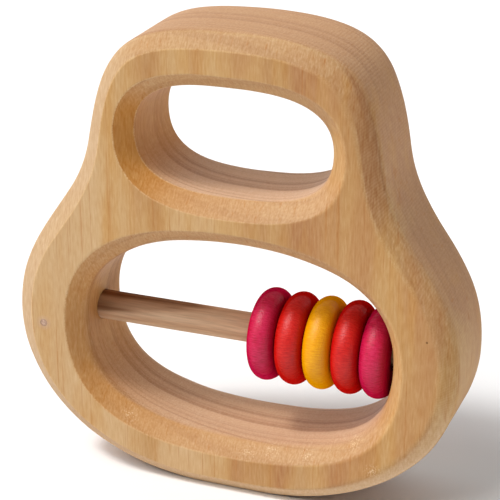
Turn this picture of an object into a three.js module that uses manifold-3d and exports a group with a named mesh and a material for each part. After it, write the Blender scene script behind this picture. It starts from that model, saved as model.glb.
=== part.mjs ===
// Wooden grasping rattle: a bell-shaped frame with a hand opening above and a wide opening below,
// where five loose discs slide along a rod. A brad through the front locks the rod.
// Millimetres. X runs across the width, the front faces -Y and Z is up.
// The origin lies under the middle of the foot.
import * as THREE from 'three';
import { mergeVertices } from 'three/addons/utils/BufferGeometryUtils.js';
import Module from 'manifold-3d';

// Heights up the middle of the frame, from the foot to the crown
const footBar = 11.6;
const rattleOpeningHeight = 44.3;
const bridgeBar = 9.4;
const handOpeningHeight = 23.3;
const crownBar = 11.4;

// Widths and walls
const boardDepth = 24.8;
const footWidth = 11.5;
const rattleOpeningWidth = 67.8;
const sideWall = 14.0;
const handOpeningWidth = 42.7;
const handleWall = 9.5;

// Where each opening is widest, above its own floor
const rattleOpeningRise = 22.4;
const handOpeningRise = 12.2;

// The handle's side lies a little under the widest part of the hand opening, and spreads downwards
const handleSideDrop = 2.3;
const handleSpread = 9.3 * THREE.MathUtils.DEG2RAD;

// Chamfers: width on the face, and depth into the board
const outlineChamferFace = 3.0;
const outlineChamferDepth = 2.6;
const openingChamferFace = 3.2;
const openingChamferDepth = 3.6;

// Fullness of the curves: the part of its run for which a curve keeps to its end tangent
const outlineFullness = {
  crown: 0.78,
  shoulder: 0.77,
  waist: 0.44,
  upperBelly: 0.49,
  lowerBelly: 0.6,
  foot: 0.55,
};
const handOpeningFullness = { top: 0.47, upperSide: 0.97, lowerSide: 0.76, bottom: 0.65 };
const rattleOpeningFullness = { top: 0.86, upperSide: 0.42, lowerSide: 0.68, bottom: 0.74 };

// Rod: flush with the left wall, and seated in a blind hole on the right
const rodDiameter = 6.35;
const rodRise = 21.8;
const rodFitClearance = 0.12;
const rodEndChamfer = 0.5;
const endGap = 0.3;
const blindHoleSkin = 5.0;

// Brad, driven in from the front through the left end of the rod and on into the wood behind it
const pinDiameter = 1.2;
const pinBite = 2.6;
const pinTip = 1.6;
const pinInset = 5.8;
const pinDrop = 0.6;
const pinSetDepth = 0.1;
const pinFitClearance = 0.1;

// Discs: round-rimmed, loose on the rod, packed against the right wall
const discDiameter = 19.4;
const discThickness = 5.9;
const discGap = 0.2;
const discBoreClearance = 1.35;
const discBoreChamfer = 0.4;
const discHangGap = 0.06;
const discWallGap = 0.1;
const discColours = [0xb01c4c, 0xc0281f, 0xe6a01e, 0xc0281f, 0xb01c4c];

// Smoothness, and how far a cutter reaches past the face that it cuts
const curveSteps = 22;
const turnSteps = 40;
const rimSteps = 10;
const cutOvershoot = 1.0;

// Levels and half widths that follow from the sizes above
const rattleOpeningTop = footBar + rattleOpeningHeight;
const rattleOpeningLevel = footBar + rattleOpeningRise;
const handOpeningFloor = rattleOpeningTop + bridgeBar;
const handOpeningTop = handOpeningFloor + handOpeningHeight;
const handOpeningLevel = handOpeningFloor + handOpeningRise;
const frameHeight = handOpeningTop + crownBar;
const bellyHalf = rattleOpeningWidth / 2 + sideWall;
const handleHalf = handOpeningWidth / 2 + handleWall;
const handleSideLevel = handOpeningLevel - handleSideDrop;
const rodLevel = footBar + rodRise;
const rodRadius = rodDiameter / 2;

const wasm = await Module();
wasm.setup();

function toSolid(geometry) {
  const bare = geometry.clone();
  bare.deleteAttribute('normal');
  bare.deleteAttribute('uv');
  const welded = mergeVertices(bare);
  return new wasm.Manifold(new wasm.Mesh({
    numProp: 3,
    vertProperties: new Float32Array(welded.attributes.position.array),
    triVerts: new Uint32Array(welded.index.array),
  }));
}

function toGeometry(solid) {
  const { vertProperties, triVerts } = solid.getMesh();
  const geometry = new THREE.BufferGeometry();
  geometry.setAttribute('position', new THREE.BufferAttribute(vertProperties, 3));
  geometry.setIndex(new THREE.BufferAttribute(triVerts, 1));
  geometry.computeVertexNormals();
  return geometry;
}

// A closed shape from cubic curves down the right side, mirrored up the left side.
// Each curve is [start, its handle, the end's handle, end], as [x, z] pairs from the top to the foot.
function mirroredShape(curves) {
  const shape = new THREE.Shape();
  shape.moveTo(...curves[0][0]);
  for (const [, leave, arrive, end] of curves) {
    shape.bezierCurveTo(...leave, ...arrive, ...end);
  }
  const mirror = ([x, z]) => [-x, z];
  const [lowX] = curves.at(-1)[3];
  if (lowX > 0) {
    shape.lineTo(...mirror(curves.at(-1)[3]));
  }
  for (const [start, leave, arrive] of [...curves].reverse()) {
    shape.bezierCurveTo(...mirror(arrive), ...mirror(leave), ...mirror(start));
  }
  return shape;
}

// Bell outline: crown and shoulder, waist and upper belly, lower belly and foot
function outlineShape() {
  const full = outlineFullness;
  const crownRun = frameHeight - handleSideLevel;
  const waistRun = handleSideLevel - rattleOpeningLevel;
  const footRun = bellyHalf - footWidth / 2;
  const slope = [Math.sin(handleSpread), Math.cos(handleSpread)];
  const alongSide = (reach) => [handleHalf + slope[0] * reach, handleSideLevel - slope[1] * reach];
  const alongBelly = (rise) => [bellyHalf, rattleOpeningLevel + rise];
  const alongFoot = (reach) => [footWidth / 2 + reach, 0];
  const crown = [0, frameHeight];
  const crownHandle = [full.crown * handleHalf, frameHeight];
  const shoulderHandle = alongSide(-full.shoulder * crownRun);
  const waistHandle = alongSide(full.waist * waistRun);
  const upperBellyHandle = alongBelly(full.upperBelly * waistRun);
  const lowerBellyHandle = alongBelly(-full.lowerBelly * rattleOpeningLevel);
  const footHandle = alongFoot(full.foot * footRun);
  return mirroredShape([
    [crown, crownHandle, shoulderHandle, alongSide(0)],
    [alongSide(0), waistHandle, upperBellyHandle, alongBelly(0)],
    [alongBelly(0), lowerBellyHandle, footHandle, alongFoot(0)],
  ]);
}

// Oval opening, widest at its own level
function openingShape(width, floor, level, top, full) {
  const half = width / 2;
  const side = [half, level];
  return mirroredShape([
    [[0, top], [full.top * half, top], [half, level + full.upperSide * (top - level)], side],
    [side, [half, level - full.lowerSide * (level - floor)], [full.bottom * half, floor], [0, floor]],
  ]);
}

const outline = outlineShape();
const handOpening = openingShape(
  handOpeningWidth, handOpeningFloor, handOpeningLevel, handOpeningTop, handOpeningFullness);
const rattleOpening = openingShape(
  rattleOpeningWidth, footBar, rattleOpeningLevel, rattleOpeningTop, rattleOpeningFullness);

// Half width of a shape at a level, between the two points of its right side that span the level
function halfWidthAt(shape, level) {
  const points = shape.getPoints(curveSteps);
  let reach = 0;
  points.forEach((a, i) => {
    const b = points[(i + 1) % points.length];
    if ((a.y - level) * (b.y - level) <= 0 && a.y !== b.y) {
      reach = Math.max(reach, a.x + (b.x - a.x) * (level - a.y) / (b.y - a.y));
    }
  });
  return reach;
}

// Board cut to a shape in the XZ plane and centred on the depth, with any chamfer on both faces
function board(shape, depth, chamferFace, chamferDepth) {
  const geometry = new THREE.ExtrudeGeometry(shape, {
    depth: depth - 2 * chamferDepth,
    bevelEnabled: chamferDepth > 0,
    bevelThickness: chamferDepth,
    bevelSize: chamferFace,
    bevelOffset: -chamferFace,
    bevelSegments: 1,
    curveSegments: curveSteps,
  });
  geometry.translate(0, 0, chamferDepth - depth / 2);
  return geometry.rotateX(Math.PI / 2);
}

// Cutter for an opening: straight through, and flared to a chamfer at each face
function openingCutter(shape) {
  const flareDepth = openingChamferDepth + cutOvershoot;
  const flare = new THREE.ExtrudeGeometry(shape, {
    depth: cutOvershoot,
    bevelThickness: flareDepth,
    bevelSize: openingChamferFace * flareDepth / openingChamferDepth,
    bevelSegments: 1,
    curveSegments: curveSteps,
  });
  flare.translate(0, 0, boardDepth / 2 + cutOvershoot);
  flare.rotateX(Math.PI / 2);
  const through = toSolid(board(shape, boardDepth + 2 * cutOvershoot, 0, 0));
  const front = toSolid(flare);
  const back = toSolid(flare.clone().rotateZ(Math.PI));
  return through.add(front).add(back);
}

// Round bar along X from one end to the other
function barAlongX(radius, fromX, toX, level) {
  const geometry = new THREE.CylinderGeometry(radius, radius, toX - fromX, turnSteps);
  geometry.rotateZ(Math.PI / 2);
  return geometry.translate((fromX + toX) / 2, 0, level);
}

// Round bar along Y, starting at the front
function barAlongY(radius, fromY, toY, x, level) {
  const geometry = new THREE.CylinderGeometry(radius, radius, toY - fromY, turnSteps);
  return geometry.translate(x, (fromY + toY) / 2, level);
}

const leftWall = Math.min(
  halfWidthAt(outline, rodLevel - rodRadius), halfWidthAt(outline, rodLevel + rodRadius));
const blindHoleEnd = halfWidthAt(outline, rodLevel) - blindHoleSkin;
const pinX = pinInset - halfWidthAt(outline, rodLevel);
const pinLevel = rodLevel - pinDrop;
const pinFront = pinSetDepth - boardDepth / 2;
const pinBack = rodRadius + pinBite;

function pinHole() {
  const radius = pinDiameter / 2 + pinFitClearance;
  return toSolid(barAlongY(radius, -boardDepth / 2 - cutOvershoot, pinBack + endGap, pinX, pinLevel));
}

function frameGeometry() {
  const blank = toSolid(board(outline, boardDepth, outlineChamferFace, outlineChamferDepth));
  const rodHole = toSolid(barAlongX(
    rodRadius + rodFitClearance, -bellyHalf - cutOvershoot, blindHoleEnd, rodLevel));
  const cut = blank.subtract(openingCutter(handOpening)).subtract(openingCutter(rattleOpening));
  return toGeometry(cut.subtract(rodHole).subtract(pinHole()));
}

function rodGeometry() {
  const length = leftWall + blindHoleEnd - endGap;
  const geometry = new THREE.LatheGeometry([
    new THREE.Vector2(0, 0),
    new THREE.Vector2(rodRadius - rodEndChamfer, 0),
    new THREE.Vector2(rodRadius, rodEndChamfer),
    new THREE.Vector2(rodRadius, length - rodEndChamfer),
    new THREE.Vector2(rodRadius - rodEndChamfer, length),
    new THREE.Vector2(0, length),
  ], turnSteps);
  geometry.rotateZ(-Math.PI / 2);
  geometry.translate(-leftWall, 0, rodLevel);
  return toGeometry(toSolid(geometry).subtract(pinHole()));
}

function pinGeometry() {
  const radius = pinDiameter / 2;
  const length = pinBack - pinFront;
  const geometry = new THREE.LatheGeometry([
    new THREE.Vector2(0, 0),
    new THREE.Vector2(radius, 0),
    new THREE.Vector2(radius, length - pinTip),
    new THREE.Vector2(0, length),
  ], turnSteps);
  return toGeometry(toSolid(geometry.translate(pinX, pinFront, pinLevel)));
}

// Half thickness of a disc at a radius: flat, then falling away over the round rim
function discHalfThicknessAt(radius) {
  const rim = discThickness / 2;
  const overRim = Math.max(0, radius - (discDiameter / 2 - rim));
  return Math.sqrt(Math.max(0, rim * rim - overRim * overRim));
}

// Disc turned about its own axis, as a closed profile from bore to rim and back
function discGeometry() {
  const half = discThickness / 2;
  const rimCentre = discDiameter / 2 - half;
  const bore = (rodDiameter + discBoreClearance) / 2;
  const profile = [
    new THREE.Vector2(bore, discBoreChamfer - half),
    new THREE.Vector2(bore + discBoreChamfer, -half),
  ];
  for (let i = 0; i <= rimSteps; i += 1) {
    const angle = Math.PI * (i / rimSteps - 0.5);
    profile.push(new THREE.Vector2(rimCentre + half * Math.cos(angle), half * Math.sin(angle)));
  }
  profile.push(new THREE.Vector2(bore + discBoreChamfer, half));
  profile.push(new THREE.Vector2(bore, half - discBoreChamfer));
  profile.push(profile[0].clone());
  const geometry = new THREE.LatheGeometry(profile, turnSteps);
  return toGeometry(toSolid(geometry.rotateZ(-Math.PI / 2)));
}

// The discs hang on the top of the rod, so their axis lies under the rod's
const discLevel = rodLevel - (discBoreClearance / 2 - discHangGap);

// Furthest place to the right where the last disc stays clear of the curved wall
function packedDiscX() {
  const side = rattleOpening.getPoints(curveSteps).filter((point) => point.x > 0);
  const near = side.filter((point) => Math.abs(point.y - discLevel) <= discDiameter / 2);
  const room = near.map((point) => point.x - discHalfThicknessAt(Math.abs(point.y - discLevel)));
  return Math.min(...room) - discWallGap;
}

const wood = { roughness: 0.55, metalness: 0 };
const frameMaterial = new THREE.MeshStandardMaterial({ color: 0xcfa36c, ...wood });
const rodMaterial = new THREE.MeshStandardMaterial({ color: 0xb58a60, ...wood });
const steel = new THREE.MeshStandardMaterial({ color: 0xa9abb0, roughness: 0.4, metalness: 1 });

function named(name, geometry, material) {
  const mesh = new THREE.Mesh(geometry, material);
  mesh.name = name;
  return mesh;
}

const rattle = new THREE.Group();
rattle.add(named('frame', frameGeometry(), frameMaterial));
rattle.add(named('rod', rodGeometry(), rodMaterial));
rattle.add(named('locking_pin', pinGeometry(), steel));

const lastDiscX = packedDiscX();
discColours.forEach((color, i) => {
  const material = new THREE.MeshStandardMaterial({ color, roughness: 0.45, metalness: 0 });
  const disc = named(`disc_${i + 1}`, discGeometry(), material);
  const fromLast = discColours.length - 1 - i;
  disc.position.set(lastDiscX - fromLast * (discThickness + discGap), 0, discLevel);
  rattle.add(disc);
});

export default rattle;
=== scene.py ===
import math
from types import SimpleNamespace

import bpy
import numpy as np
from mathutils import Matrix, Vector, noise
from mathutils.geometry import delaunay_2d_cdt


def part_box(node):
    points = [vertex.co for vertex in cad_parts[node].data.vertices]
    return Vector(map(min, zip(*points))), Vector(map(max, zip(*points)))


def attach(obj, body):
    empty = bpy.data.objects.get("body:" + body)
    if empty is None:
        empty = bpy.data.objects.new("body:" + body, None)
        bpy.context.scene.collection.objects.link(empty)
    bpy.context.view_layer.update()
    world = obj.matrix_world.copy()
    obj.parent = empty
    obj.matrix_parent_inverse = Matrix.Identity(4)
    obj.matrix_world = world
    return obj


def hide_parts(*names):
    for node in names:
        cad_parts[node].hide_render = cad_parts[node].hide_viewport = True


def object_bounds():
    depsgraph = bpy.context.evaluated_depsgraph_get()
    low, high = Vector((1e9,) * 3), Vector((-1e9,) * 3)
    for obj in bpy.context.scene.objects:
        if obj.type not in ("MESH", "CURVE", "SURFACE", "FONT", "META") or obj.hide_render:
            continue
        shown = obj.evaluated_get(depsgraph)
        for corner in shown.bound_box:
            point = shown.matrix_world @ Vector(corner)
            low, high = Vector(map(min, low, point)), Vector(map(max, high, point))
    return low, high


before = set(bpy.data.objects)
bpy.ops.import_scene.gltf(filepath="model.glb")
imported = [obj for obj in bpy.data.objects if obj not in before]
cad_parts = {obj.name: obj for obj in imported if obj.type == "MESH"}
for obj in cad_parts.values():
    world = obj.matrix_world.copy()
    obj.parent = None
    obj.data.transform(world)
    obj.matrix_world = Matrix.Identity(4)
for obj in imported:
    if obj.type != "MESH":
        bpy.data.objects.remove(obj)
cadLow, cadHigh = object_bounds()
mm = 0.001
noise.seed_set(5)  # the same unevenness at each run
print("frame loaded:", len(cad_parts), "nodes")


def linear(hexCode):
    parts = [int(hexCode[i:i + 2], 16) / 255 for i in (1, 3, 5)]
    return [p / 12.92 if p <= 0.04045 else ((p + 0.055) / 1.055) ** 2.4 for p in parts] + [1.0]


# adds one node: inputs are values or sockets to link, stops are the hex colours of a ramp
# MapRange has the value at 0, its range at 1 and 2, and what that becomes at 3 and 4
# Mix has the share at 0, numbers at 2 and 3, and colours at 6 and 7
def put(tree, kind, inputs, stops=(), **settings):
    node = tree.nodes.new("ShaderNode" + kind)
    for name, value in settings.items():
        setattr(node, name, value)
    for place, value in inputs.items():
        if isinstance(value, bpy.types.NodeSocket):
            tree.links.new(value, node.inputs[place])
        else:
            node.inputs[place].default_value = value
    for i, (at, hexCode) in enumerate(stops):
        element = node.color_ramp.elements[i] if i < 2 else node.color_ramp.elements.new(at)
        element.position = at
        element.color = linear(hexCode)
    return node


smooth = {"interpolation_type": "SMOOTHSTEP"}  # for a MapRange that eases in and out


def newMaterial(name):
    material = bpy.data.materials.new(name)
    material.use_nodes = True
    tree = material.node_tree
    shader = tree.nodes["Principled BSDF"]
    place = put(tree, "TexCoord", {}).outputs["Object"]
    return material, tree, shader, place


# what the woods share: fine relief in mm, roughness that follows the fibres, and a finish of oil or wax
def woodSkin(tree, shader, height, fibre, wood):
    bump = put(tree, "Bump", {"Height": height, "Distance": wood["relief"] * mm, "Strength": 1.0})
    tree.links.new(bump.outputs[0], shader.inputs["Normal"])
    smoothest, roughest = wood["roughness"]
    rough = put(tree, "MapRange", {0: fibre, 1: 0.3, 2: 0.7, 3: smoothest, 4: roughest})
    tree.links.new(rough.outputs[0], shader.inputs["Roughness"])
    shader.inputs["IOR"].default_value = 1.45


# a waxed but fibrous skin: it shines where it faces the eye and goes dull at a glancing angle
def duller(tree, shader, shine):
    glancing = put(tree, "LayerWeight", {0: 0.5}).outputs["Facing"]
    level = put(tree, "MapRange", {0: glancing, 1: 0.15, 2: 0.55, 3: shine, 4: 0.0})
    tree.links.new(level.outputs[0], shader.inputs["Specular IOR Level"])


# features per metre from the size of one feature in mm
def perMm(*sizes):
    return tuple(1 / (size * mm) for size in sizes)


def newPiece(name, verts, faces, material, body, node):
    mesh = bpy.data.meshes.new(name)
    mesh.from_pydata(verts, [], faces)
    piece = bpy.data.objects.new(name, mesh)
    bpy.context.collection.objects.link(piece)
    mesh.materials.append(material)
    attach(piece, body)
    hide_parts(node)
    return piece


def smoothShade(mesh, sharpDegrees):
    mesh.shade_smooth()
    mesh.set_sharp_from_angle(angle=math.radians(sharpDegrees))


# turns a profile of (along, radius) pairs about a line through centre
def turned(profile, centre, axis, segments):
    axis = Vector(axis)
    side = Vector((0, 0, 1))
    other = axis.cross(side)
    verts, faces, rings = [], [], []
    for along, radius in profile:
        count = segments if radius > 0 else 1  # one point on the axis
        rings.append([len(verts) + i % count for i in range(segments)])
        for i in range(count):
            angle = 2 * math.pi * i / segments
            spoke = side * math.cos(angle) + other * math.sin(angle)
            verts.append(Vector(centre) + axis * along + spoke * radius)
    for ring, ahead in zip(rings, rings[1:]):
        for i in range(segments):
            k = (i + 1) % segments
            faces.append(list(dict.fromkeys((ring[i], ring[k], ahead[k], ahead[i]))))
    return verts, faces


pinLow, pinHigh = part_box("locking_pin")
pinAxis = Vector(((pinLow.x + pinHigh.x) / 2, 0, (pinLow.z + pinHigh.z) / 2))
bradHead = Vector((pinAxis.x, pinLow.y, pinAxis.z)) / mm  # where the brad was driven in

# Alder, planed, cut with a router, sanded and oiled: a satin tan with short upright fibres and clouds of
# ochre, growth layers that show on the walls, mottled chamfers, and edges that the sanding rubbed paler
alder = {
    "pale": "#CDA97C", "middle": "#C89E69", "deep": "#B8875A",
    # partly painted shade: the ground deepens to the right, away from the lamps on the left
    "drift": (4.2, 0.0, 1.9),  # deeper to the right and upwards
    "coats": {  # colours over that ground, in this order, and the most of each that shows
        # the inner floors' coat is paler, and paler still in the hand opening, where that is painted light
        "amber": ("#C28E4C", 0.5), "endGrain": ("#B88D66", 1.0), "floorToneAndLight": ("#CCA888", 1.0),
        "slope": ("#C0986A", 1.0), "lateWood": ("#8E5C3A", 0.68), "hairLine": ("#B27438", 1.0),
        # the deep orange coat in the openings is painted shade, warm as light bounced off the wood
        # the right chamfer's burnish also carries painted shade, the pale left chamfer is a painted sheen,
        # and the pale foot chamfer is painted light bounced from the table
        "warmShade": ("#C4863C", 1.0), "burnishAndShade": ("#9C6A46", 0.7), "leftSheen": ("#C2A17C", 0.9),
        # the darker coat at the right of the handle is painted shade
        "footBounce": ("#D6B690", 1.0), "handleShade": ("#A07038", 0.5), "rubbed": ("#DDBB8C", 1.0),
        "torn": ("#EED6B2", 0.65), "bradStain": ("#C6A48C", 0.6), "knot": ("#5E3A1C", 1.2),
    },
    # size of one feature in mm across, through and up the board, and how fine it breaks up;
    # fibres, hair lines and pores are drawn coarser than they are, so that they show
    "grain": {
        "wander": ((38.0, 60.0, 260.0), 2.0), "cloud": ((9.0, 20.0, 60.0), 2.0),
        "amber": ((3.5, 8.0, 26.0), 2.0), "fibre": ((0.4, 0.4, 3.2), 3.0),
        "hair": ((0.55, 2.0, 45.0), 2.0), "pore": ((0.34, 0.34, 0.34), 2.0),
        "mottle": ((0.3, 1.5, 1.9), 2.0), "patch": ((9.0, 9.0, 9.0), 1.0),
    },
    "rises": {  # along which axis, from where to where in mm, and how much there is before that
        "floorToneAndLight": ("Z", 50.0, 66.0, 0.6), "warmShade": ("Z", 45.0, 65.0, 0.7),
        # the right chamfer's burnish and painted shade rise with height; the painted shade at the right of
        # the handle lies by side and height
        "burnishAndShade": ("Z", 50.0, 80.0, 0.0), "handleShadeSide": ("X", 20.0, 32.0, 0.0),
        "handleShadeHeight": ("Z", 55.0, 78.0, 0.2), "cutterMarks": ("Z", 35.0, 75.0, 0.55),
    },
    "spots": {  # mm: how far each reaches, where it is full, and its places
        "torn": (2.4, 0.0, [(-23.0, -10.6, 13.5), (4.0, -11.0, 9.8), (9.1, -10.2, 10.7),
                            (17.1, -10.8, 11.4), (27.2, -10.1, 16.1), (31.9, -12.4, 11.3)]),
        "bradStain": (1.9, 0.8, [bradHead]),
        "knot": (0.32, 0.0, [(42.1, -12.4, 42.4)]),
    },
    "layer": 2.6, "layerTilt": 0.09, "layerWander": 4.0,  # mm across, lean across the width, wander in mm
    "ripple": 0.65, "wobble": 0.6,  # mm between cutter marks, and how far they stray
    # which way the openings' painted warm shade faces, and which way the foot's painted table bounce faces
    "warmShadeFacing": (0.95, 0.0, 0.31), "footBounceFacing": (0.4, 0.0, -0.92),
    "relief": 0.04, "roughness": (0.46, 0.62), "shine": 0.18,  # open grain breaks up the shine
}


# what the colours and the cutter marks share: the grain, places on the board, and how its surface lies
def alderMaps(tree, place):
    axes = put(tree, "SeparateXYZ", {0: place}).outputs
    facing = put(tree, "TexCoord", {}).outputs["Normal"]
    normal = put(tree, "SeparateXYZ", {0: facing}).outputs
    grain, rise, near = {}, {}, {}
    for name, (size, detail) in alder["grain"].items():
        at = put(tree, "Mapping", {0: place, "Scale": perMm(*size)}).outputs[0]
        grain[name] = put(tree, "TexNoise", {"Vector": at, "Scale": 1.0, "Detail": detail}).outputs[0]
    for name, (axis, start, full, least) in alder["rises"].items():
        span = {0: axes[axis], 1: start * mm, 2: full * mm, 3: least, 4: 1.0}
        rise[name] = put(tree, "MapRange", span).outputs[0]
    for name, (reach, full, places) in alder["spots"].items():
        near[name] = 0.0
        for at in places:
            away = put(tree, "VectorMath", {0: place, 1: Vector(at) * mm}, operation="DISTANCE")
            span = {0: away.outputs["Value"], 1: reach * mm, 2: full * mm}
            here = put(tree, "MapRange", span).outputs[0]
            near[name] = put(tree, "Math", {0: here, 1: near[name]}, operation="MAXIMUM").outputs[0]
    upright = put(tree, "Math", {0: normal["Z"]}, operation="ABSOLUTE").outputs[0]
    across = put(tree, "MapRange", {0: upright, 1: 0.2, 2: 0.9}, **smooth).outputs[0]  # end grain
    flatness = put(tree, "Math", {0: normal["Y"]}, operation="ABSOLUTE").outputs[0]
    sloped = put(tree, "MapRange", {0: flatness, 1: 0.3, 2: 0.6}, **smooth).outputs[0]  # chamfers
    routed = put(tree, "MapRange", {0: flatness, 1: 0.97, 2: 0.87}).outputs[0]  # all but the planed faces
    inner = put(tree, "Attribute", {}, attribute_name="inner").outputs["Fac"]  # the two openings
    return SimpleNamespace(place=place, axes=axes, facing=facing, normal=normal, grain=grain, rise=rise,
                           near=near, upright=upright, across=across, sloped=sloped, routed=routed,
                           inner=inner)


# growth layers: uneven lines along the depth, bent by a slow wander, plain on the walls cut across them
def growthLayers(tree, wood):
    lean = put(tree, "Math", {0: wood.axes["X"], 1: alder["layerTilt"], 2: wood.axes["Y"]},
               operation="MULTIPLY_ADD").outputs[0]
    depth = put(tree, "Math", {0: wood.grain["wander"], 1: alder["layerWander"] * mm, 2: lean},
                operation="MULTIPLY_ADD").outputs[0]
    growth = put(tree, "TexNoise", {"W": depth, "Scale": perMm(alder["layer"])[0], "Detail": 3.0,
                                    "Roughness": 0.6}, noise_dimensions="1D").outputs[0]
    late = put(tree, "MapRange", {0: growth, 1: 0.44, 2: 0.7}, **smooth).outputs[0]
    outside = put(tree, "MapRange", {0: wood.upright, 1: 0.2, 2: 0.9, 3: 0.08, 4: 0.6}).outputs[0]
    inside = put(tree, "MapRange", {0: wood.upright, 1: 0.0, 2: 0.6, 3: 0.7, 4: 0.95}).outputs[0]
    onWalls = put(tree, "Mix", {0: wood.inner, 2: outside, 3: inside}).outputs[0]
    layered = put(tree, "MapRange", {0: wood.sloped, 3: onWalls, 4: 0.3}).outputs[0]
    return late, layered


# painted shade, warm as light bounced off the wood: deep orange on the openings' slopes that face up and
# right, less on the walls that face right
def warmShadeMask(tree, wood):
    upRight = put(tree, "VectorMath", {0: wood.facing, 1: alder["warmShadeFacing"]}, operation="DOT_PRODUCT")
    onSlope = put(tree, "MapRange", {0: upRight.outputs["Value"], 1: 0.08, 2: 0.6, 3: 0.0, 4: 0.8})
    onWall = put(tree, "MapRange", {0: wood.normal["X"], 1: 0.2, 2: 0.8, 3: 0.0, 4: 0.6})
    return put(tree, "Mix", {0: wood.sloped, 2: onWall.outputs[0], 3: onSlope.outputs[0]}).outputs[0]


# the ground and the coats over it, each coat where all that is listed for it meets
def alderColour(tree, wood):
    grain, rise, near, sideways = wood.grain, wood.rise, wood.near, wood.normal["X"]
    across, sloped, inner = wood.across, wood.sloped, wood.inner
    outer = put(tree, "Math", {0: 1.0, 1: inner}, operation="SUBTRACT").outputs[0]
    planed = put(tree, "MapRange", {0: wood.routed, 3: 1.0, 4: 0.0}).outputs[0]

    # ochre clouds, and hair lines along the fibres
    amber = put(tree, "MapRange", {0: grain["amber"], 1: 0.52, 2: 0.7}).outputs[0]
    along = put(tree, "MapRange", {0: across, 3: 0.6, 4: 0.0}).outputs[0]
    streaked = put(tree, "MapRange", {0: sloped, 3: along, 4: 0.5}).outputs[0]
    hair = put(tree, "MapRange", {0: grain["hair"], 1: 0.62, 2: 0.72, 3: 0.0, 4: streaked}).outputs[0]

    # along the outline the right chamfer is darker, partly burnished by the cutter and partly painted
    # shade; the left chamfer is paler as a painted sheen, and the foot's as painted light bounced up from
    # the table
    toRight = put(tree, "MapRange", {0: sideways, 1: 0.4, 2: 0.62}, **smooth).outputs[0]
    toLeft = put(tree, "MapRange", {0: sideways, 1: -0.2, 2: -0.55}).outputs[0]
    downRight = put(tree, "VectorMath", {0: wood.facing, 1: alder["footBounceFacing"]}, operation="DOT_PRODUCT")
    toFoot = put(tree, "MapRange", {0: downRight.outputs["Value"], 1: 0.3, 2: 0.72}).outputs[0]

    # crisp edges are rubbed pale in spots, and the grain is torn where the cutter ran against the fibres
    worn = put(tree, "Attribute", {}, attribute_name="worn").outputs["Fac"]
    crispSide = put(tree, "MapRange", {0: sideways, 1: 0.0, 2: 0.4, 3: 0.3, 4: 0.95}).outputs[0]
    most = put(tree, "MapRange", {0: inner, 3: 0.5, 4: crispSide}).outputs[0]
    spotty = put(tree, "MapRange", {0: grain["pore"], 1: 0.35, 2: 0.65, 3: 0.1, 4: most}).outputs[0]
    fleck = put(tree, "MapRange", {0: grain["pore"], 1: 0.54, 2: 0.66}).outputs[0]

    shown = {
        # inner floors: paler, and in the hand opening painted light
        "amber": [amber], "endGrain": [across], "floorToneAndLight": [inner, across, rise["floorToneAndLight"]],
        "slope": [sloped, across], "lateWood": growthLayers(tree, wood), "hairLine": [hair],
        "warmShade": [warmShadeMask(tree, wood), rise["warmShade"], inner],
        # painted shade over the right chamfer's burnish, painted sheen on the left chamfer, painted table
        # bounce on the foot's chamfers
        "burnishAndShade": [toRight, rise["burnishAndShade"], sloped, outer],
        "leftSheen": [toLeft, sloped, outer], "footBounce": [toFoot, sloped, outer],
        # painted shade on the face at the right of the handle
        "handleShade": [rise["handleShadeSide"], rise["handleShadeHeight"], planed],  # the right of the handle
        "rubbed": [worn, spotty], "torn": [fleck, near["torn"]],
        "bradStain": [near["bradStain"]], "knot": [near["knot"]],
    }
    drift = put(tree, "VectorMath", {0: wood.place, 1: alder["drift"]}, operation="DOT_PRODUCT")
    tone = put(tree, "Math", {0: drift.outputs["Value"], 1: grain["cloud"]}, operation="ADD")
    colour = put(tree, "ValToRGB", {0: tone.outputs[0]},
                 stops=[(0.42, alder["pale"]), (0.58, alder["middle"]), (0.76, alder["deep"])]).outputs[0]
    for name, (hexCode, share) in alder["coats"].items():
        for factor in shown[name]:
            share = put(tree, "Math", {0: factor, 1: share}, operation="MULTIPLY").outputs[0]
        colour = put(tree, "Mix", {0: share, 6: colour, 7: linear(hexCode)}, data_type="RGBA").outputs[2]
    return colour


# cutter marks across the outline's right side, most on the handle, faint elsewhere, none where planed
def cutterMarks(tree, wood):
    run = put(tree, "Attribute", {}, attribute_name="run").outputs["Fac"]
    strayed = put(tree, "Math", {0: wood.grain["mottle"], 1: alder["wobble"] * mm, 2: run},
                  operation="MULTIPLY_ADD").outputs[0]
    perMetre = 2 * math.pi * perMm(alder["ripple"])[0]
    turns = put(tree, "Math", {0: strayed, 1: perMetre}, operation="MULTIPLY").outputs[0]
    ripple = put(tree, "Math", {0: turns}, operation="SINE").outputs[0]
    strong = put(tree, "MapRange", {0: wood.normal["X"], 1: 0.0, 2: 0.5, 3: 0.1, 4: 1.0}).outputs[0]
    fainter = put(tree, "MapRange", {0: wood.inner, 3: 1.0, 4: 0.12}).outputs[0]
    uneven = put(tree, "MapRange", {0: wood.grain["patch"], 1: 0.3, 2: 0.65, 3: 0.25, 4: 1.0}).outputs[0]
    for factor in (strong, wood.rise["cutterMarks"], fainter, uneven, wood.routed):
        ripple = put(tree, "Math", {0: ripple, 1: factor}, operation="MULTIPLY").outputs[0]
    return ripple


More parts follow.
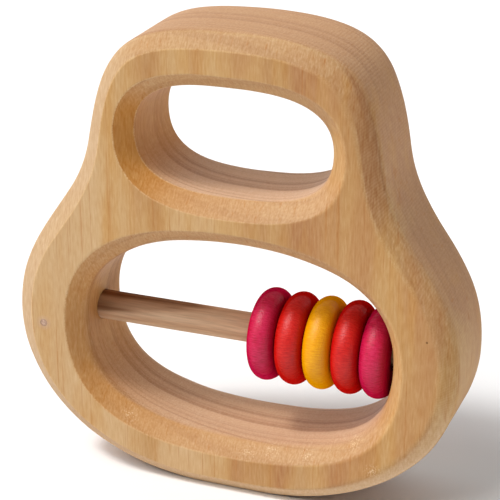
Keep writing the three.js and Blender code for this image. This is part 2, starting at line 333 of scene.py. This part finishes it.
def sandedAlder():
    material, tree, shader, place = newMaterial("sanded_oiled_alder")
    wood = alderMaps(tree, place)
    grain = wood.grain
    colour = alderColour(tree, wood)
    ripple = cutterMarks(tree, wood)

    # fibres, pores, mottling and cutter marks darken the wood and make it warmer
    fibreTone = put(tree, "MapRange", {0: grain["fibre"], 1: 0.25, 2: 0.75, 3: 1.17, 4: 0.86}).outputs[0]
    poreTone = put(tree, "MapRange", {0: grain["pore"], 1: 0.3, 2: 0.7, 3: 1.12, 4: 0.9}).outputs[0]
    porous = put(tree, "MapRange", {0: wood.sloped, 3: wood.across, 4: 0.1}).outputs[0]
    grainTone = put(tree, "Mix", {0: porous, 2: fibreTone, 3: poreTone}).outputs[0]
    mottle = put(tree, "MapRange", {0: grain["mottle"], 1: 0.3, 2: 0.7, 3: 0.1, 4: -0.1}).outputs[0]
    rough = put(tree, "MapRange", {0: wood.sloped, 3: 0.5, 4: 1.0}).outputs[0]
    calm = put(tree, "MapRange", {0: wood.routed, 3: 0.35, 4: rough}).outputs[0]
    mottled = put(tree, "Math", {0: mottle, 1: calm, 2: grainTone}, operation="MULTIPLY_ADD").outputs[0]
    depthTone = put(tree, "Math", {0: ripple, 1: 0.06, 2: mottled}, operation="MULTIPLY_ADD").outputs[0]
    shaded = put(tree, "Gamma", {0: colour, 1: depthTone})
    tree.links.new(shaded.outputs[0], shader.inputs["Base Color"])

    relief = put(tree, "Math", {0: ripple, 1: 0.25, 2: grain["fibre"]}, operation="MULTIPLY_ADD")
    woodSkin(tree, shader, relief.outputs[0], grain["fibre"], alder)
    shader.inputs["Specular IOR Level"].default_value = alder["shine"]
    return material


# Frame: a thick board cut to a bell outline, with two oval openings and chamfers on both faces
# sizes in mm, as the solid has them; eased edges, fuller walls and unevenness are the hand work on it
bell = {
    "footBar": 11.6, "rattleHeight": 44.3, "bridgeBar": 9.4, "handHeight": 23.3,
    "footWidth": 11.5, "rattleWidth": 67.8, "handWidth": 42.7, "handleWall": 9.5,
    "rattleRise": 22.4, "handRise": 12.2, "sideDrop": 2.3, "spread": 9.3,
    # how full each curve is
    "outlineFull": {"crown": 0.78, "shoulder": 0.77, "waist": 0.44, "upper": 0.49, "lower": 0.6,
                    "foot": 0.55},
    "handFull": {"top": 0.47, "upper": 0.97, "lower": 0.76, "bottom": 0.65},
    "rattleFull": {"top": 0.86, "upper": 0.42, "lower": 0.68, "bottom": 0.74},
    "outlineChamfer": (3.0, 2.6), "openingChamfer": (3.2, 3.6),  # on the face, into the depth
    # how far a chamfer's edges are eased, at the face and at the wall, on the left and on the right
    "softOutline": ((0.22, 0.28), (0.5, 0.9)), "softHand": ((0.22, 0.28), (0.5, 1.6)),
    "softRattle": ((0.3, 1.5), (0.6, 3.2)), "softFrom": (5.0, 25.0),  # x where left turns into right
    # where the outline's edges are rounder, on crown, right corner, belly and foot: x, z, reach and easing
    "rounder": [(-8.0, 100.0, 20.0, (0.3, 1.2)), (29.0, 90.0, 11.0, (0.9, 2.0)),
                (46.0, 40.0, 18.0, (0.8, 1.6)), (36.0, 8.0, 14.0, (1.2, 1.8))],
    # where the walls stand out, to make up for the easing and for the hand work: x, z, reach and how far
    "fullOutline": [(0.0, 60.0, 120.0, 0.35), (31.0, 84.0, 17.0, 0.45), (28.0, 97.0, 9.0, 0.5),
                    (-44.0, 50.0, 12.0, 0.2), (-37.0, 60.0, 8.0, 0.35), (-48.0, 33.0, 10.0, 0.35),
                    (-29.0, 89.0, 14.0, -0.22)],
    "fullHand": [(22.0, 75.0, 18.0, 0.5), (0.0, 65.0, 14.0, 0.25), (17.0, 84.0, 7.0, 0.3)],
    "fullRattle": [(-10.0, 56.0, 20.0, 0.5), (-10.0, 11.6, 25.0, 0.35), (-28.0, 51.0, 8.0, 0.6),
                   (-22.0, 16.0, 10.0, 0.3), (18.0, 53.0, 10.0, 0.5)],
    "footReach": 8.0,  # the outline is fuller only above the foot, and fully from this height on
    "crispReach": 0.25, "markSlant": 0.5,  # easing of the most worn edges, lean of a chamfer's marks
    "step": 0.8, "wallRows": 9,  # mesh spacing along the walls, and rows across them
    "faceStep": 2.2, "faceRim": 0.2,  # mesh spacing on the faces and at their rims
    "faceRow": 0.87, "faceClear": 0.6,  # between its rows and beside the rims, as shares of faceStep
    "unevenness": 0.05, "unevenSize": 7.0,  # from hand sanding
    "faceUneven": 0.2, "footFlat": 0.5,  # share of it on the flat faces, and the height where it starts
    "rodFit": 0.12, "pinFit": 0.2, "sharp": 32,  # gaps round what fills the holes, and degrees
}


def cubic(start, leave, arrive, end, steps=80):
    t = np.linspace(0, 1, steps, endpoint=False)[:, None]
    s = 1 - t
    a, b, c, d = (np.array(p, float) for p in (start, leave, arrive, end))
    return s ** 3 * a + 3 * s * s * t * b + 3 * s * t * t * c + t ** 3 * d


# the right side from top to bottom as cubic curves, mirrored and spaced evenly; clockwise from the front
def evenLoop(curves, step):
    right = np.vstack([cubic(*curve) for curve in curves] + [np.array([curves[-1][3]], float)])
    left = right[::-1] * (-1, 1)
    loop = np.vstack([right, left[left[:, 0] < 0]])
    closed = np.vstack([loop, loop[:1]])
    length = np.concatenate([[0], np.cumsum(np.linalg.norm(np.diff(closed, axis=0), axis=1))])
    count = int(round(length[-1] / step))
    at = np.arange(count) * length[-1] / count
    return np.stack([np.interp(at, length, closed[:, k]) for k in (0, 1)], 1), at, length[-1]


def outlineCurves(height, half):
    full = bell["outlineFull"]
    belly = bell["footBar"] + bell["rattleRise"]
    handFloor = bell["footBar"] + bell["rattleHeight"] + bell["bridgeBar"]
    side = handFloor + bell["handRise"] - bell["sideDrop"]
    sideHalf = bell["handWidth"] / 2 + bell["handleWall"]
    slope = np.array([math.sin(math.radians(bell["spread"])), -math.cos(math.radians(bell["spread"]))])
    sidePoint = np.array([sideHalf, side])
    waistRun = side - belly
    foot = bell["footWidth"] / 2
    return [
        [(0, height), (full["crown"] * sideHalf, height),
         sidePoint - slope * full["shoulder"] * (height - side), sidePoint],
        [sidePoint, sidePoint + slope * full["waist"] * waistRun,
         (half, belly + full["upper"] * waistRun), (half, belly)],
        [(half, belly), (half, belly - full["lower"] * belly),
         (foot + full["foot"] * (half - foot), 0), (foot, 0)],
    ]


def openingCurves(width, floor, rise, height, full):
    half, level, top = width / 2, floor + rise, floor + height
    return [
        [(0, top), (full["top"] * half, top), (half, level + full["upper"] * (top - level)),
         (half, level)],
        [(half, level), (half, level - full["lower"] * rise), (full["bottom"] * half, floor),
         (0, floor)],
    ]


# a rounded corner as (inset, y, worn) points, most worn at its middle and where it is crisp
def eased(corner, before, after, reach, steps=6):
    start, end = corner + before * reach, corner + after * reach
    crisp = min(1.0, bell["crispReach"] / reach)
    points = []
    for t in np.linspace(0, 1, steps):
        inset, y = (1 - t) ** 2 * start + 2 * t * (1 - t) * corner + t * t * end
        points.append((inset, y, crisp * (1 - abs(2 * t - 1) ** 2)))
    return points


# section through one wall, from the back face to the front face, as (inset into the wood, y, worn)
def wallSection(half, chamfer, softFace, softWall):
    faceCorner = np.array([chamfer[0], half])
    wallCorner = np.array([0.0, half - chamfer[1]])
    slant = (wallCorner - faceCorner) / np.linalg.norm(wallCorner - faceCorner)
    inward, down = np.array([1.0, 0.0]), np.array([0.0, -1.0])
    atFace = eased(faceCorner, inward, slant, softFace)
    atWall = eased(wallCorner, -slant, down, softWall)
    between = ((atFace[-1][0] + atWall[0][0]) / 2, (atFace[-1][1] + atWall[0][1]) / 2, 0.0)
    edge = [(chamfer[0] + softFace + bell["faceRim"], half, 0.0)] + atFace + [between] + atWall
    wallEnd = edge[-1][1]
    wall = [(0.0, y, 0.0) for y in np.linspace(wallEnd, -wallEnd, bell["wallRows"])[1:-1]]
    return edge + wall + [(inset, -y, worn) for inset, y, worn in reversed(edge)]


# 1 at the place and fading out over its reach
def nearness(point, x, z, reach):
    return math.exp(-((point[0] - x) ** 2 + (point[1] - z) ** 2) / reach ** 2)


# how far the edges are eased and the wall stands out at one point of a loop
def handWork(point, softSides, fuller, isOutline):
    left, right = bell["softFrom"]
    rightness = np.clip((point[0] - left) / (right - left), 0, 1)
    soft = [np.interp(rightness, (0, 1), ends) for ends in zip(*softSides)]
    out = sum(push * nearness(point, x, z, reach) for x, z, reach, push in fuller)
    if isOutline:
        out *= np.clip(point[1] / bell["footReach"], 0, 1)
        for x, z, reach, rounder in bell["rounder"]:
            here = nearness(point, x, z, reach)
            soft = [np.interp(here, (0, 1), ends) for ends in zip(soft, rounder)]
    return soft, out


# sweeps a wall round a loop and gives its corners their values for the material
# returns, for each point of the loop, the vertices where the wall meets the two faces
def sweepWall(verts, faces, corners, depthHalf, curves, chamfer, softSides, fuller, isOutline):
    points, at, length = evenLoop(curves, bell["step"])
    along = np.roll(points, -1, 0) - np.roll(points, 1, 0)
    along /= np.linalg.norm(along, axis=1)[:, None]
    intoWood = np.stack([along[:, 1], -along[:, 0]], 1) * (1 if isOutline else -1)
    first, count = len(verts), len(points)
    rub, slant = [], []
    for point, into in zip(points, intoWood):
        soft, out = handWork(point, softSides, fuller, isOutline)
        section = wallSection(depthHalf, (chamfer[0] + out, chamfer[1]), *soft)
        for inset, y, worn in section:
            x, z = point + into * (inset - out)
            verts.append((x, y, z))
            rub.append(worn)
            slant.append(-bell["markSlant"] * inset)
    size = len(section)
    for i in range(count):
        k = (i + 1) % count
        for j in range(size - 1):
            quad = [(i, j), (k, j), (k, j + 1), (i, j + 1)]
            if isOutline:
                quad.reverse()
            faces.append([first + a * size + b for a, b in quad])
            for a, b in quad:
                ahead = 0.0 if a == i else length / count
                corners["run"].append((at[i] + ahead + slant[a * size + b]) * mm)
                corners["worn"].append(rub[a * size + b])
                corners["inner"].append(0.0 if isOutline else 1.0)
    return [(first + i * size, first + i * size + size - 1) for i in range(count)]


def bellFrame(material):
    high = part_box("frame")[1] / mm
    depthHalf = high.y
    handFloor = bell["footBar"] + bell["rattleHeight"] + bell["bridgeBar"]
    outline = outlineCurves(high.z, high.x)
    hand = openingCurves(bell["handWidth"], handFloor, bell["handRise"], bell["handHeight"],
                         bell["handFull"])
    rattle = openingCurves(bell["rattleWidth"], bell["footBar"], bell["rattleRise"], bell["rattleHeight"],
                           bell["rattleFull"])
    loops = [(outline, bell["outlineChamfer"], bell["softOutline"], bell["fullOutline"], True),
             (hand, bell["openingChamfer"], bell["softHand"], bell["fullHand"], False),
             (rattle, bell["openingChamfer"], bell["softRattle"], bell["fullRattle"], False)]
    verts, faces = [], []
    corners = {"run": [], "worn": [], "inner": []}
    faceRings = [sweepWall(verts, faces, corners, depthHalf, *loop) for loop in loops]
    for side in (0, 1):
        triangles = fillFace(verts, faceRings, side)
        faces += triangles
        for values in corners.values():
            values += [0.0] * 3 * len(triangles)
    for i, (x, y, z) in enumerate(verts):
        wave = noise.noise_vector(Vector((x, y, z)) / bell["unevenSize"]) * bell["unevenness"]
        flat = bell["faceUneven"] if abs(y) > depthHalf - 0.01 else 1.0
        rest = 0.0 if z < bell["footFlat"] else 1.0
        verts[i] = ((x + wave.x * rest) * mm, (y + wave.y * flat * rest) * mm, (z + wave.z * rest) * mm)
    piece = newPiece("bell_frame", verts, faces, material, "body", "frame")
    for name, values in corners.items():
        piece.data.attributes.new(name, "FLOAT", "CORNER").data.foreach_set("value", values)
    return piece


# the flat of the front or back face: the three rings, a grid of points between them, and their triangles
def fillFace(verts, faceRings, side):
    rings = [[pair[side] for pair in ring] for ring in faceRings]
    flat = [np.array([(verts[i][0], verts[i][2]) for i in ring]) for ring in rings]
    y = verts[rings[0][0]][1]
    step = bell["faceStep"]
    low, high = flat[0].min(0), flat[0].max(0)
    rows = np.arange(low[1], high[1], step * bell["faceRow"])
    grid = [(x + (row % 2) * step / 2, z) for row, z in enumerate(rows)
            for x in np.arange(low[0], high[0], step)]
    kept = [p for p in grid if inLoop(p, flat[0]) and not inLoop(p, flat[1]) and not inLoop(p, flat[2])
            and min(np.linalg.norm(ring - p, axis=1).min() for ring in flat) > step * bell["faceClear"]]
    index = [i for ring in rings for i in ring]
    for x, z in kept:
        index.append(len(verts))
        verts.append((x, y, z))
    edges, start = [], 0
    for ring in rings:
        edges += [(start + i, start + (i + 1) % len(ring)) for i in range(len(ring))]
        start += len(ring)
    flatPoints = [Vector((verts[i][0], verts[i][2])) for i in index]
    found = delaunay_2d_cdt(flatPoints, edges, [], 1, 1e-6)
    source = [index[ids[0]] for ids in found[3]]
    ringOf = {i: n for n, ring in enumerate(rings) for i in ring}
    triangles = []
    for triangle in found[2]:
        corners = [source[i] for i in triangle]
        if {ringOf.get(i, 0) for i in corners} in ({1}, {2}):  # across an opening
            continue
        a, b, c = (np.array(verts[i]) for i in corners)
        if np.cross(b - a, c - a)[1] * y < 0:
            corners.reverse()
        triangles.append(corners)
    return triangles


def inLoop(point, loop):
    x, z = point
    ahead = np.roll(loop, -1, 0)
    spans = (loop[:, 1] > z) != (ahead[:, 1] > z)
    rise = np.where(spans, ahead[:, 1] - loop[:, 1], 1.0)
    crossing = loop[:, 0] + (z - loop[:, 1]) * (ahead[:, 0] - loop[:, 0]) / rise
    return np.count_nonzero(spans & (crossing > x)) % 2 == 1


# Rod: a beech dowel, machined round and oiled, brown with long darker streaks; painted shadow darkens it
# above a line that climbs along its top, and painted bounce light makes it paler underneath
beech = {
    "streak": "#7E5436", "ground": "#C49C7B", "pale": "#D8B898",
    "fibre": (5.0, 0.3, 0.3), "band": (40.0, 2.2, 2.2),  # mm along, through and up, coarse enough to show
    "shadowHeights": (37.5, 38.5), "shadowClimb": 0.155, "bounceHeights": (33.2, 31.6),  # heights in mm, and the climb
    "relief": 0.05, "roughness": (0.45, 0.6), "shine": 0.15,
}


def beechDowel():
    material, tree, shader, place = newMaterial("oiled_beech_dowel")
    fibreAt = put(tree, "Mapping", {0: place, "Scale": perMm(*beech["fibre"])}).outputs[0]
    fibre = put(tree, "TexNoise", {"Vector": fibreAt, "Scale": 1.0, "Detail": 3.0}).outputs[0]
    bandAt = put(tree, "Mapping", {0: place, "Scale": perMm(*beech["band"])}).outputs[0]
    band = put(tree, "TexNoise", {"Vector": bandAt, "Scale": 1.0, "Detail": 2.0}).outputs[0]
    axes = put(tree, "SeparateXYZ", {0: place}).outputs
    # painted shadow above a line that climbs along the top, and painted bounce light underneath
    climb = put(tree, "Math", {0: axes["X"], 1: -beech["shadowClimb"], 2: axes["Z"]},
                operation="MULTIPLY_ADD")
    start, full = beech["shadowHeights"]
    darker = put(tree, "MapRange", {0: climb.outputs[0], 1: start * mm, 2: full * mm, 3: 0.05, 4: -0.2})
    start, full = beech["bounceHeights"]
    paler = put(tree, "MapRange", {0: axes["Z"], 1: start * mm, 2: full * mm, 3: 0.0, 4: 0.2})
    sides = put(tree, "Math", {0: darker.outputs[0], 1: paler.outputs[0]}, operation="ADD")
    tone = put(tree, "Math", {0: band, 1: sides.outputs[0]}, operation="ADD")
    ground = put(tree, "ValToRGB", {0: tone.outputs[0]},
                 stops=[(0.22, beech["streak"]), (0.5, beech["ground"]), (0.78, beech["pale"])])
    shade = put(tree, "MapRange", {0: fibre, 1: 0.25, 2: 0.75, 3: 0.84, 4: 1.12})
    coloured = put(tree, "Mix", {0: 1.0, 6: ground.outputs[0], 7: shade.outputs[0]},
                   data_type="RGBA", blend_type="MULTIPLY")
    tree.links.new(coloured.outputs[2], shader.inputs["Base Color"])
    woodSkin(tree, shader, fibre, fibre, beech)
    duller(tree, shader, beech["shine"])
    return material


dowel = {"endChamfer": 0.5, "segments": 64, "lengths": 40, "sharp": 30}  # mm, and degrees


def dowelRod(material):
    low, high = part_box("rod")
    centre = (low + high) / 2
    radius = (high.z - low.z) / 2
    half = (high.x - low.x) / 2
    cut = dowel["endChamfer"] * mm
    body = [(x, radius) for x in np.linspace(-half + cut, half - cut, dowel["lengths"])]
    profile = [(-half, 0.0), (-half, radius - cut)] + body + [(half, radius - cut), (half, 0.0)]
    verts, faces = turned(profile, centre, (1, 0, 0), dowel["segments"])
    return newPiece("dowel_rod", verts, faces, material, "body", "rod")


# Brad: bare steel wire, cut and dulled by the oil, so it mirrors only in soft warm patches
steel = {"dark": "#AA8C78", "bright": "#C6AA98", "patch": 0.6, "roughness": (0.5, 0.7)}  # patch in mm


def bareSteel():
    material, tree, shader, place = newMaterial("bare_steel_brad")
    patch = put(tree, "TexNoise", {"Vector": place, "Scale": perMm(steel["patch"])[0],
                                   "Detail": 2.0}).outputs[0]
    coloured = put(tree, "ValToRGB", {0: patch}, stops=[(0.4, steel["dark"]), (0.6, steel["bright"])])
    tree.links.new(coloured.outputs[0], shader.inputs["Base Color"])
    low, high = steel["roughness"]
    rough = put(tree, "MapRange", {0: patch, 1: 0.3, 2: 0.7, 3: low, 4: high})
    tree.links.new(rough.outputs[0], shader.inputs["Roughness"])
    shader.inputs["Metallic"].default_value = 1.0
    return material


# mm; the hammered head stands past the solid's end, and still just under the face
brad = {"tip": 1.6, "headSpread": 0.19, "headHeight": 0.5, "headRound": 0.06, "headProud": 0.06,
        "segments": 32, "sharp": 40}


def bradPin(material):
    centre = (pinLow + pinHigh) / 2
    radius = (pinHigh.x - pinLow.x) / 2
    half = (pinHigh.y - pinLow.y) / 2
    soft = brad["headRound"] * mm
    head = radius + brad["headSpread"] * mm
    under = -half + brad["headHeight"] * mm
    top = -half - brad["headProud"] * mm
    profile = [(top, 0.0), (top, head - soft), (top + soft * 0.3, head - soft * 0.3), (top + soft, head),
               (under, head), (under + soft, radius), (half - brad["tip"] * mm, radius), (half, 0.0)]
    verts, faces = turned(profile, centre, (0, 1, 0), brad["segments"])
    piece = newPiece("brad_pin", verts, faces, material, "body", "locking_pin")
    smoothShade(piece.data, brad["sharp"])
    return piece


# Discs: slices of a maple dowel with turned round rims, stained and waxed; the grain shows through the
# stain as fine short lines along the axis, and the open end grain of the flat sides drinks in more of it
maple = {
    "stains": {
        "magenta": {"deep": "#A20A2E", "ground": "#C61446", "pale": "#CE2E5C"},
        "red": {"deep": "#AE0C08", "ground": "#C8140E", "pale": "#D62C22"},
        "yellow": {"deep": "#DE9000", "ground": "#EAA000", "pale": "#F0B118"},
    },
    "fibre": (1.4, 0.22), "speckle": 0.34, "cloud": 6.0,  # mm, fibres along and round, coarse to show
    "relief": 0.08, "roughness": (0.34, 0.48), "shine": 0.4,
}


def stainedMaple(colour):
    material, tree, shader, place = newMaterial(f"{colour}_stained_maple")
    stain = maple["stains"][colour]
    low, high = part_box("disc_1")
    radius = (high.z - low.z) / 2
    axes = put(tree, "SeparateXYZ", {0: place}).outputs
    rise = put(tree, "Math", {0: axes["Z"], 1: (low.z + high.z) / 2}, operation="SUBTRACT")
    front = put(tree, "Math", {0: axes["Y"], 1: -1.0}, operation="MULTIPLY")
    angle = put(tree, "Math", {0: rise.outputs[0], 1: front.outputs[0]}, operation="ARCTAN2")
    alongScale, roundScale = perMm(*maple["fibre"])
    along = put(tree, "Math", {0: axes["X"], 1: alongScale}, operation="MULTIPLY")
    around = put(tree, "Math", {0: angle.outputs[0], 1: roundScale * radius}, operation="MULTIPLY")
    fibreAt = put(tree, "CombineXYZ", {0: along.outputs[0], 1: around.outputs[0]})
    fibre = put(tree, "TexNoise", {"Vector": fibreAt.outputs[0], "Scale": 1.0, "Detail": 2.0},
                noise_dimensions="2D").outputs[0]
    lined = put(tree, "ValToRGB", {0: fibre},
                stops=[(0.16, stain["deep"]), (0.5, stain["ground"]), (0.84, stain["pale"])])
    normal = put(tree, "SeparateXYZ", {0: put(tree, "TexCoord", {}).outputs["Normal"]}).outputs
    sideways = put(tree, "Math", {0: normal["X"]}, operation="ABSOLUTE")
    thirsty = put(tree, "MapRange", {0: sideways.outputs[0], 1: 0.5, 2: 0.95, 3: 0.0, 4: 0.7})
    soaked = put(tree, "Mix", {0: thirsty.outputs[0], 6: lined.outputs[0], 7: linear(stain["deep"])},
                 data_type="RGBA")
    cloud = put(tree, "TexNoise", {"Vector": place, "Scale": perMm(maple["cloud"])[0], "Detail": 1.0})
    strength = put(tree, "MapRange", {0: cloud.outputs[0], 1: 0.3, 2: 0.7, 3: 1.06, 4: 0.96})
    coloured = put(tree, "Gamma", {0: soaked.outputs[2], 1: strength.outputs[0]})
    tree.links.new(coloured.outputs[0], shader.inputs["Base Color"])
    speckle = put(tree, "TexNoise", {"Vector": place, "Scale": perMm(maple["speckle"])[0], "Detail": 2.0})
    relief = put(tree, "Math", {0: fibre, 1: 0.5, 2: speckle.outputs[0]}, operation="MULTIPLY_ADD")
    woodSkin(tree, shader, relief.outputs[0], fibre, maple)
    duller(tree, shader, maple["shine"])
    return material


discs = {"colours": ["magenta", "red", "yellow", "red", "magenta"], "bore": 7.7, "boreChamfer": 0.4,
         "swollen": 0.15,  # mm, rims a little fuller than the solid's
         "segments": 96, "rimSteps": 28, "sharp": 40}


def rattleDisc(number, colour, material):
    node = f"disc_{number}"
    low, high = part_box(node)
    centre = (low + high) / 2
    radius = (high.z - low.z) / 2 + discs["swollen"] * mm
    half = (high.x - low.x) / 2
    bore = discs["bore"] / 2 * mm
    cut = discs["boreChamfer"] * mm
    rimCentre = radius - half
    turns = [math.pi * (i / discs["rimSteps"] - 0.5) for i in range(discs["rimSteps"] + 1)]
    rim = [(half * math.sin(angle), rimCentre + half * math.cos(angle)) for angle in turns]
    middle = (bore + cut + rimCentre) / 2
    profile = [(-half + cut, bore), (-half, bore + cut), (-half, middle)] + rim
    profile += [(half, middle), (half, bore + cut), (half - cut, bore)]
    count = discs["segments"]
    verts, faces = turned(profile, centre, (1, 0, 0), count)
    last = len(verts) - count
    for i in range(count):  # the bore, from the last ring back to the first
        k = (i + 1) % count
        faces.append((last + i, last + k, k, i))
    piece = newPiece(f"{colour}_disc_{number}", verts, faces, material, node, node)
    smoothShade(piece.data, discs["sharp"])
    return piece


# Holes for the rod, right through on the left and blind on the right, and for the brad
holes = {"sides": 72, "start": 2.0, "past": 0.3}  # mm before the wood, and past the end of the rod or brad


def drill(piece, axis, centre, start, end, radius):
    count = holes["sides"]
    verts, faces = turned([(start, radius), (end, radius)], centre, axis, count)
    ends = [list(range(count))[::-1], list(range(count, 2 * count))]
    mesh = bpy.data.meshes.new("drill")
    mesh.from_pydata(verts, [], faces + ends)
    cutter = bpy.data.objects.new("drill", mesh)
    bpy.context.collection.objects.link(cutter)
    cut = piece.modifiers.new("hole", "BOOLEAN")
    cut.object = cutter
    cut.solver = "EXACT"
    done = bpy.data.meshes.new_from_object(piece.evaluated_get(bpy.context.evaluated_depsgraph_get()))
    piece.modifiers.clear()
    old = piece.data
    piece.data = done
    bpy.data.meshes.remove(old)
    bpy.data.objects.remove(cutter)
    bpy.data.meshes.remove(mesh)


bellPiece = bellFrame(sandedAlder())
rodPiece = dowelRod(beechDowel())
bradPin(bareSteel())
print("frame, rod and brad built:", len(bellPiece.data.polygons), "faces in the frame")

rodLow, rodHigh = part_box("rod")
before, past = holes["start"] * mm, holes["past"] * mm
rodHole = (rodHigh.z - rodLow.z) / 2 + bell["rodFit"] * mm
rodAxis = (0, 0, (rodLow.z + rodHigh.z) / 2)
drill(bellPiece, (1, 0, 0), rodAxis, cadLow.x - before, rodHigh.x + past, rodHole)
pinHole = (pinHigh.x - pinLow.x) / 2 + bell["pinFit"] * mm
for holder in (bellPiece, rodPiece):
    drill(holder, (0, 1, 0), pinAxis, cadLow.y - before, pinHigh.y + past, pinHole)
smoothShade(bellPiece.data, bell["sharp"])
smoothShade(rodPiece.data, dowel["sharp"])
print("holes drilled")

stainedMaterials = {colour: stainedMaple(colour) for colour in maple["stains"]}
for i, colour in enumerate(discs["colours"]):
    rattleDisc(i + 1, colour, stainedMaterials[colour])
print("discs turned and stained")

# Studio: a white table, a white room that is dim before and over the toy, and two soft lamps, upper left
studio = {
    "table": "#F6F6F6", "tableReach": 2.0, "tableRoughness": 0.9, "tableShine": 0.1,
    "room": 0.7, "roomFront": 0.1, "front": (0.31, -0.79, 0.52),
    "lamps": {"left_lamp": ((-0.5, -0.36, 1.0), 10.0, 1.55),  # where from, spread in degrees, power
              "front_lamp": ((-0.5, -0.54, 1.0), 40.0, 1.75)},
}


def whiteTable():
    material, _, shader, _ = newMaterial("white_table")
    shader.inputs["Base Color"].default_value = linear(studio["table"])
    shader.inputs["Roughness"].default_value = studio["tableRoughness"]
    shader.inputs["Specular IOR Level"].default_value = studio["tableShine"]
    reach = studio["tableReach"]
    mesh = bpy.data.meshes.new("white_table")
    mesh.from_pydata([(-reach, -reach, 0), (reach, -reach, 0), (reach, reach, 0), (-reach, reach, 0)],
                     [], [(0, 1, 2, 3)])
    mesh.materials.append(material)
    table = bpy.data.objects.new("white_table", mesh)
    table.location.z = cadLow.z
    bpy.context.collection.objects.link(table)


# white where it is seen or mirrored, and a soft light that fades to the front
def whiteRoom():
    world = bpy.data.worlds.new("white_room")
    bpy.context.scene.world = world
    world.use_nodes = True
    tree = world.node_tree
    rays = put(tree, "LightPath", {}).outputs
    both = put(tree, "Math", {0: rays["Is Camera Ray"], 1: rays["Is Glossy Ray"]}, operation="MAXIMUM")
    seen = put(tree, "Math", {0: both.outputs[0], 1: rays["Is Transmission Ray"]}, operation="MAXIMUM")
    way = put(tree, "TexCoord", {}).outputs["Generated"]
    ahead = put(tree, "VectorMath", {0: way, 1: studio["front"]}, operation="DOT_PRODUCT").outputs["Value"]
    soft = put(tree, "MapRange", {0: ahead, 1: 0.0, 2: 0.8, 3: studio["room"], 4: studio["roomFront"]},
               **smooth)
    strength = put(tree, "MapRange", {0: seen.outputs[0], 3: soft.outputs[0], 4: 1.0})
    background = tree.nodes["Background"]
    background.inputs["Color"].default_value = linear("#FFFFFF")
    tree.links.new(strength.outputs[0], background.inputs["Strength"])


def farLamp(name, toward, spread, power):
    light = bpy.data.lights.new(name, "SUN")
    light.angle = math.radians(spread)
    light.energy = power
    lamp = bpy.data.objects.new(name, light)
    lamp.rotation_euler = Vector(toward).to_track_quat("Z", "Y").to_euler()
    bpy.context.collection.objects.link(lamp)


whiteTable()
whiteRoom()
for name, (toward, spread, power) in studio["lamps"].items():
    farLamp(name, toward, spread, power)

# Camera: where the photograph was taken from, with its lens; degrees and mm
shot = {"azimuth": 20.938, "elevation": 22.599, "distance": 369.6, "target": (0.285, 0.0, 51.06),
        "focalPixels": 1781.0, "imagePixels": 500, "sensor": 36.0}


def photoCamera():
    data = bpy.data.cameras.new("photo_camera")
    data.sensor_width = shot["sensor"]
    data.lens = shot["sensor"] * shot["focalPixels"] / shot["imagePixels"]
    data.clip_start = 0.01
    camera = bpy.data.objects.new("photo_camera", data)
    azimuth, elevation = math.radians(shot["azimuth"]), math.radians(shot["elevation"])
    away = Vector((math.sin(azimuth) * math.cos(elevation), -math.cos(azimuth) * math.cos(elevation),
                   math.sin(elevation)))
    camera.location = Vector(shot["target"]) * mm + away * shot["distance"] * mm
    camera.rotation_euler = away.to_track_quat("Z", "Y").to_euler()
    bpy.context.collection.objects.link(camera)
    bpy.context.scene.camera = camera


photoCamera()
bpy.context.scene.view_settings.view_transform = "Standard"
print("studio and camera set")
